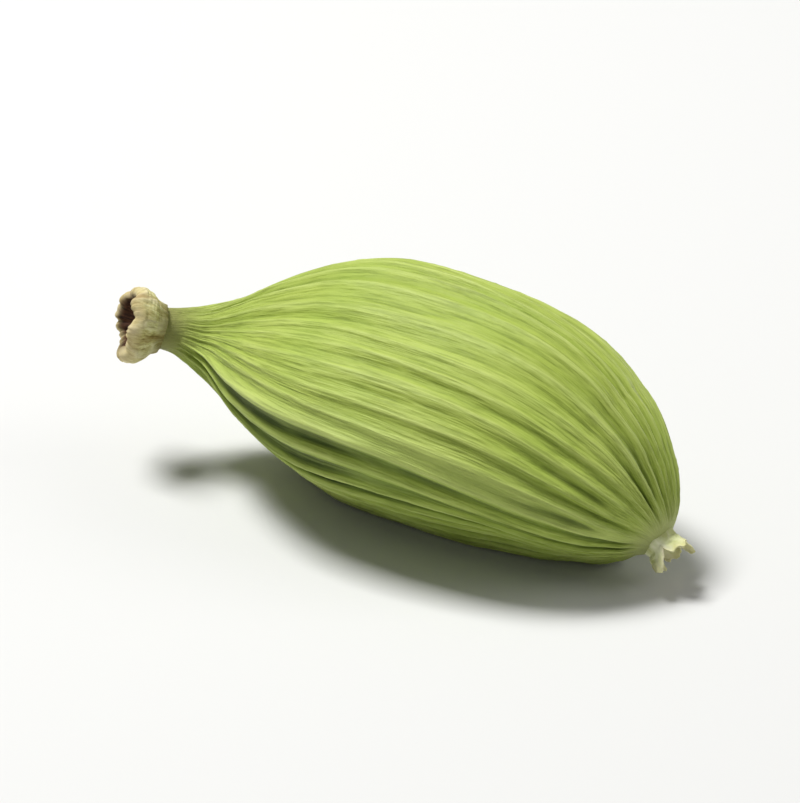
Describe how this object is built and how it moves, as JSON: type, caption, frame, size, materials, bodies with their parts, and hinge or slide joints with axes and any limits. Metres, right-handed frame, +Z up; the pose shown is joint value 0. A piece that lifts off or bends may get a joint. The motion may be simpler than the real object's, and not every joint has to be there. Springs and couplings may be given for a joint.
{
  "type": "green cardamom pod",
  "caption": "Dried ribbed seed pod, three-cornered and pointed, lying on its belly, with a stalk stub at one end and a papery flower remnant on the beak.",
  "frame": {"origin": "a point in the small flat resting spot on the belly, at the level of the surface it lies on", "axes": "+X along the pod from the stalk stub to the beak, +Z up through the rounded back, -Y towards the sharpest long corner"},
  "size_m": [0.0174, 0.007, 0.0067],
  "materials": {
    "husk": "dried green fibrous skin, matt, with raised pale ribs",
    "stalk_stub": "dried straw-coloured stalk, torn, brown in the hollow",
    "flower_remnant": "thin papery pale straw, matt"
  },
  "bodies": {
    "root": {"husk": "husk", "stalk_stub": "stalk_stub", "flower_remnant": "flower_remnant"}
  },
  "joints": []
}
